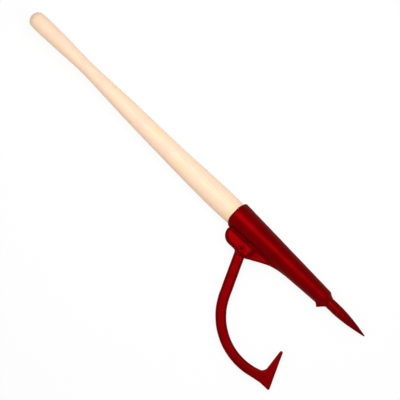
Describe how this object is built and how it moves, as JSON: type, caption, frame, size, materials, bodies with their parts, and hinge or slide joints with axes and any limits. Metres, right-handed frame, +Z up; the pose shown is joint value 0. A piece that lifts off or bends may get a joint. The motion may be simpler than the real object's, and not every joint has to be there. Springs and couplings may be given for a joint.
{
  "type": "cant hook",
  "caption": "Log-handling tool: a turned wooden handle in a tapered iron socket with a spike, and a swinging hook that bites a log.",
  "frame": {"origin": "on the floor plane, under the middle of the tool as it lies on the side of its socket and the back of its hook", "axes": "+X along the tool from the grip to the point of the pick, +Y away from the hook, +Z up, close to the axis of the hook bolt"},
  "size_m": [1.1082, 0.299, 0.0886],
  "materials": {
    "handle_wood": "turned pale hardwood, sanded, bare",
    "red_enamel": "glossy dark red enamel over forged and cast iron",
    "dark_steel": "plain dark steel hardware"
  },
  "bodies": {
    "tool": {"handle": "handle_wood", "socket": "red_enamel", "pick": "red_enamel", "hook_bolt": "red_enamel", "hook_nut": "dark_steel", "lock_washer": "dark_steel", "socket_pin": "dark_steel"},
    "hook": {"hook": "red_enamel"}
  },
  "joints": [
    {"name": "hook_swing", "type": "hinge", "parent": "tool", "child": "hook", "pos_m": [0.19511, 0.06217, 0.03055], "axis": [0.0484, -0.0394, 0.998], "range_deg": [-110, 32]}
  ]
}
